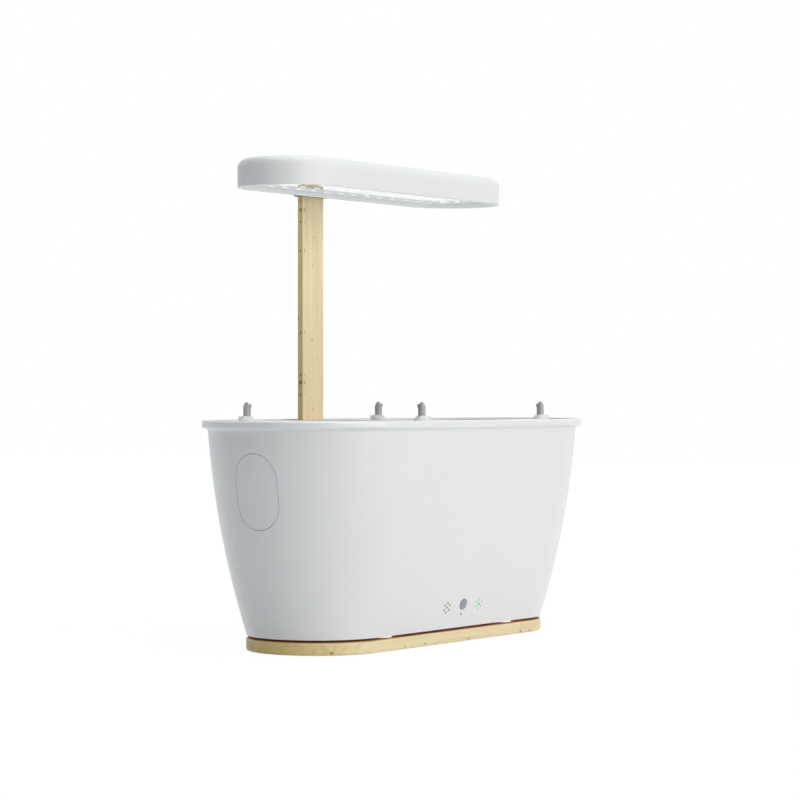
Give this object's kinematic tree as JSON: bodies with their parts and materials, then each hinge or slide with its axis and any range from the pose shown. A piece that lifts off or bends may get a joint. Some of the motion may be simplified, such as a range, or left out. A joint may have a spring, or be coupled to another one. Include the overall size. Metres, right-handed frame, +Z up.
{
  "type": "countertop hydroponic garden",
  "caption": "Countertop hydroponic garden: bowed oval tub on a wooden plinth, lift-off deck with slotted grow baskets, watering spouts and filling door, LED lamp sliding on a wooden post.",
  "frame": {"origin": "on the table, under the middle of the tub", "axes": "+X along the tub to its right-hand end, -Y towards the front with the button, +Z up"},
  "size_m": [0.45, 0.2, 0.424],
  "materials": {
    "plinth_wood": "fine horizontal grain, satin",
    "post_wood": "pale lath with small dark knots, satin",
    "tub_white": "moulded, fine satin",
    "deck_white": "moulded, satin",
    "reservoir_grey": "plain moulded",
    "rubber_black": "matt",
    "steel": "plated screws",
    "board_green": "solder mask",
    "black_plastic": "moulded",
    "green_lens": "clear light pipe",
    "button_violet": "polished",
    "pump_grey": "moulded",
    "pipe_grey": "smooth",
    "hose_clear": "soft translucent hose",
    "spout_grey": "satin",
    "basket_grey": "moulded",
    "float_orange": "closed-cell foam",
    "lamp_white": "moulded, satin",
    "led_plate_white": "white solder mask, glossy",
    "led_white": "moulded LED blocks",
    "collar_grey": "dark satin"
  },
  "bodies": {
    "base": {"plinth": "plinth_wood", "plinth_pads": "rubber_black", "standoffs": "tub_white", "plinth_screws": "steel", "tub_shell": "tub_white", "reservoir": "reservoir_grey", "post_socket": "deck_white", "socket_screws": "steel", "control_board": "board_green", "board_screws": "steel", "tact_switch": "black_plastic", "buzzer": "black_plastic", "green_light": "green_lens", "dc_inlet": "black_plastic", "lamp_outlet": "black_plastic", "pump_body": "pump_grey", "pump_feet": "rubber_black", "riser_pipe": "pipe_grey", "float_stem": "pipe_grey", "door_pin": "steel"},
    "deck": {"deck": "deck_white", "manifold": "pipe_grey", "feed_hoses": "hose_clear", "spout_bushes": "pipe_grey", "spout_feet": "deck_white"},
    "spout_1": {"spout_1": "spout_grey"},
    "spout_2": {"spout_2": "spout_grey"},
    "spout_3": {"spout_3": "spout_grey"},
    "spout_4": {"spout_4": "spout_grey"},
    "basket_left": {"basket_left": "basket_grey"},
    "basket_right": {"basket_right": "basket_grey"},
    "post": {"post": "post_wood"},
    "lamp": {"lamp_housing": "lamp_white", "led_plate": "led_plate_white", "leds": "led_white", "lamp_driver": "board_green", "lamp_screws": "steel", "lamp_collar": "collar_grey", "collar_screws": "steel", "collar_pad": "rubber_black", "lamp_inlet": "black_plastic"},
    "door": {"fill_door": "tub_white", "fill_chute": "reservoir_grey"},
    "button": {"button_cap": "button_violet", "button_stem": "black_plastic"},
    "float": {"float": "float_orange"}
  },
  "joints": [
    {"name": "deck_lift", "type": "slide", "parent": "base", "child": "deck", "axis": [0, 0, 1], "range_m": [0, 0.03]},
    {"name": "basket_left_lift", "type": "slide", "parent": "deck", "child": "basket_left", "axis": [0, 0, 1], "range_m": [0, 0.05]},
    {"name": "basket_right_lift", "type": "slide", "parent": "deck", "child": "basket_right", "axis": [0, 0, 1], "range_m": [0, 0.05]},
    {"name": "spout_1_swivel", "type": "hinge", "parent": "deck", "child": "spout_1", "pos_m": [-0.15445, 0.05445, 0.194], "axis": [0, 0, 1], "range_deg": [-60, 60]},
    {"name": "spout_2_swivel", "type": "hinge", "parent": "deck", "child": "spout_2", "pos_m": [0.04555, 0.05445, 0.194], "axis": [0, 0, 1], "range_deg": [-60, 60]},
    {"name": "spout_3_swivel", "type": "hinge", "parent": "deck", "child": "spout_3", "pos_m": [-0.04555, -0.05445, 0.194], "axis": [0, 0, 1], "range_deg": [-60, 60]},
    {"name": "spout_4_swivel", "type": "hinge", "parent": "deck", "child": "spout_4", "pos_m": [0.15445, -0.05445, 0.194], "axis": [0, 0, 1], "range_deg": [-60, 60]},
    {"name": "post_lift", "type": "slide", "parent": "base", "child": "post", "axis": [0, 0, 1], "range_m": [0, 0.05]},
    {"name": "lamp_height", "type": "slide", "parent": "post", "child": "lamp", "axis": [0, 0, 1], "range_m": [-0.11, 0]},
    {"name": "door_tilt", "type": "hinge", "parent": "base", "child": "door", "pos_m": [-0.20574, 0, 0.1275], "axis": [0, -1, 0], "range_deg": [0, 35]},
    {"name": "button_press", "type": "slide", "parent": "base", "child": "button", "axis": [0, 0.9631, 0.2691], "range_m": [0, 0.001], "stiffness_N_per_m": 400, "springref_m": -0.002},
    {"name": "float_rise", "type": "slide", "parent": "base", "child": "float", "axis": [0, 0, 1], "range_m": [0, 0.03]}
  ]
}
